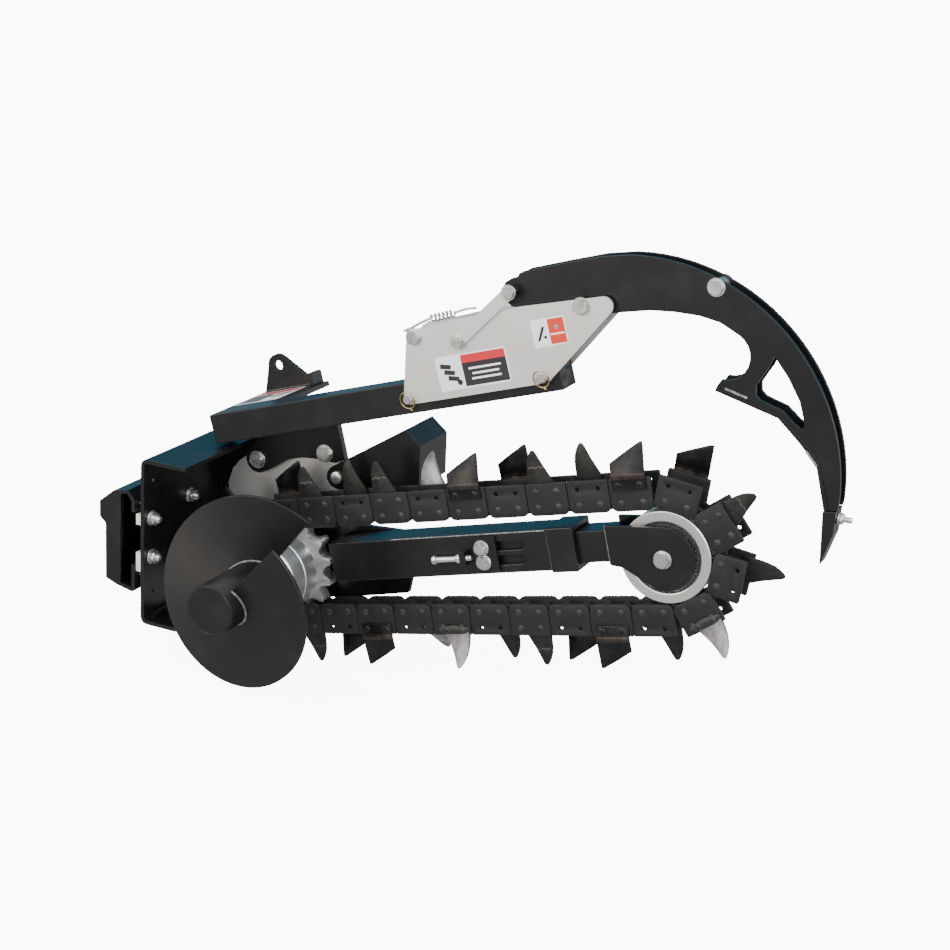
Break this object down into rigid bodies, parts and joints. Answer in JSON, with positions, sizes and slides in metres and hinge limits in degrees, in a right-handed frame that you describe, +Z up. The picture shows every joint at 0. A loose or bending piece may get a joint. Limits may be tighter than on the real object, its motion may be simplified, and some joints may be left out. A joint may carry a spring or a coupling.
{
  "type": "trencher",
  "caption": "Chain trencher attachment for a small skid-steer loader: toothed digging chain on a boom, spoil auger, folding crumber arm.",
  "frame": {"origin": "middle of the hitch plate's flat face, where the loader's quick-attach plate bears", "axes": "+X away from the loader towards the digging end, +Y towards the motor side, +Z up"},
  "size_m": [1.456, 0.6703, 0.93],
  "materials": {
    "black": "semi-gloss black paint over steel, worn at the edges",
    "zinc": "bright zinc plating, satin",
    "steel": "turned steel",
    "bolt": "zinc-plated fastener",
    "iron": "dark heat-treated steel, oiled"
  },
  "bodies": {
    "machine_frame": {"hitch_plate": "black", "upper_spacer": "zinc", "lower_spacer": "zinc", "wall_bolt_upper_near": "bolt", "wall_bolt_upper_far": "bolt", "wall_bolt_lower_near": "bolt", "wall_bolt_lower_far": "bolt", "wall_bolt_middle": "bolt", "frame": "black", "hydraulic_motor": "iron", "port_fitting_a": "bolt", "port_fitting_b": "bolt", "shaft_bearing": "steel", "bearing_housing": "black", "boom_mount_plate": "black", "boom_tube": "black", "jack_block": "black", "beam": "black", "top_plate": "black", "lift_eye": "black", "hanger_plate": "black", "pivot_plate": "zinc", "hanger_bolt_rear": "bolt", "hanger_bolt_front": "bolt", "guard_bolt": "bolt", "chain_lower_run": "iron", "chain_upper_run": "iron", "chain_drive_wrap": "iron"},
    "drive": {"drive_shaft": "steel", "sprocket": "zinc", "auger": "black"},
    "nose": {"inner_tube": "black", "fork_plate_near": "black", "fork_plate_far": "black", "idler_axle": "bolt", "clamp_pad": "black", "pad_bolt_upper": "bolt", "pad_bolt_lower": "bolt", "chain_nose_wrap": "iron"},
    "idler": {"idler_wheel": "zinc"},
    "jack": {"jack_screw": "bolt"},
    "bracket": {"bracket_plate_near": "zinc", "bracket_plate_far": "zinc", "arm_pivot_bolt": "bolt", "spring_bolt": "bolt", "return_spring": "bolt"},
    "arm": {"crumber_arm_near": "black", "crumber_arm_far": "black", "crumber_scoop": "black", "crumber_shoe": "black", "shoe_bolt": "bolt", "arm_tie_bolt": "bolt"},
    "link": {"link_bar_near": "zinc", "link_bar_far": "zinc", "link_foot_bolt": "bolt", "link_top_bolt": "bolt"},
    "guard_panel": {"guard": "black"},
    "rear_pin": {"rear_lock_pin": "bolt"},
    "front_pin": {"front_lock_pin": "bolt"}
  },
  "joints": [
    {"name": "drive_spin", "type": "hinge", "parent": "machine_frame", "child": "drive", "pos_m": [0.321, -0.092, -0.052], "axis": [0, 1, 0], "continuous": true},
    {"name": "boom_tension", "type": "slide", "parent": "machine_frame", "child": "nose", "axis": [0.965, 0, 0.2622], "range_m": [0, 0.012]},
    {"name": "idler_spin", "type": "hinge", "parent": "nose", "child": "idler", "pos_m": [1.11863, -0.092, 0.142], "axis": [0, 1, 0], "continuous": true},
    {"name": "jack_turn", "type": "hinge", "parent": "machine_frame", "child": "jack", "pos_m": [0.68708, -0.143, 0.05221], "axis": [0.965, 0, 0.2622], "range_deg": [0, 2469]},
    {"name": "crumber_fold", "type": "hinge", "parent": "machine_frame", "child": "bracket", "pos_m": [0.58808, -0.092, 0.35076], "axis": [0, -1, 0], "range_deg": [0, 80]},
    {"name": "crumber_float", "type": "hinge", "parent": "bracket", "child": "arm", "pos_m": [0.921, -0.092, 0.581], "axis": [0, -1, 0], "range_deg": [-4, 0], "stiffness_Nm_per_rad": 60, "springref_deg": 51.57},
    {"name": "link_swing", "type": "hinge", "parent": "arm", "child": "link", "pos_m": [0.781, -0.092, 0.586], "axis": [0, -1, 0], "range_deg": [0, 6.6]},
    {"name": "guard_swing", "type": "hinge", "parent": "machine_frame", "child": "guard_panel", "pos_m": [0.391, -0.04, 0.131], "axis": [0, -1, 0], "range_deg": [0, 20]},
    {"name": "rear_pin_pull", "type": "slide", "parent": "machine_frame", "child": "rear_pin", "axis": [0, -1, 0], "range_m": [0, 0.095]},
    {"name": "front_pin_pull", "type": "slide", "parent": "machine_frame", "child": "front_pin", "axis": [0, -1, 0], "range_m": [0, 0.095]}
  ],
  "couplings": [
    {"joint": "idler_spin", "follows": "drive_spin", "ratio": 0.88702},
    {"joint": "jack_turn", "follows": "boom_tension", "rad_per_m": 3590.4},
    {"joint": "link_swing", "follows": "crumber_float", "ratio": -1.625}
  ]
}
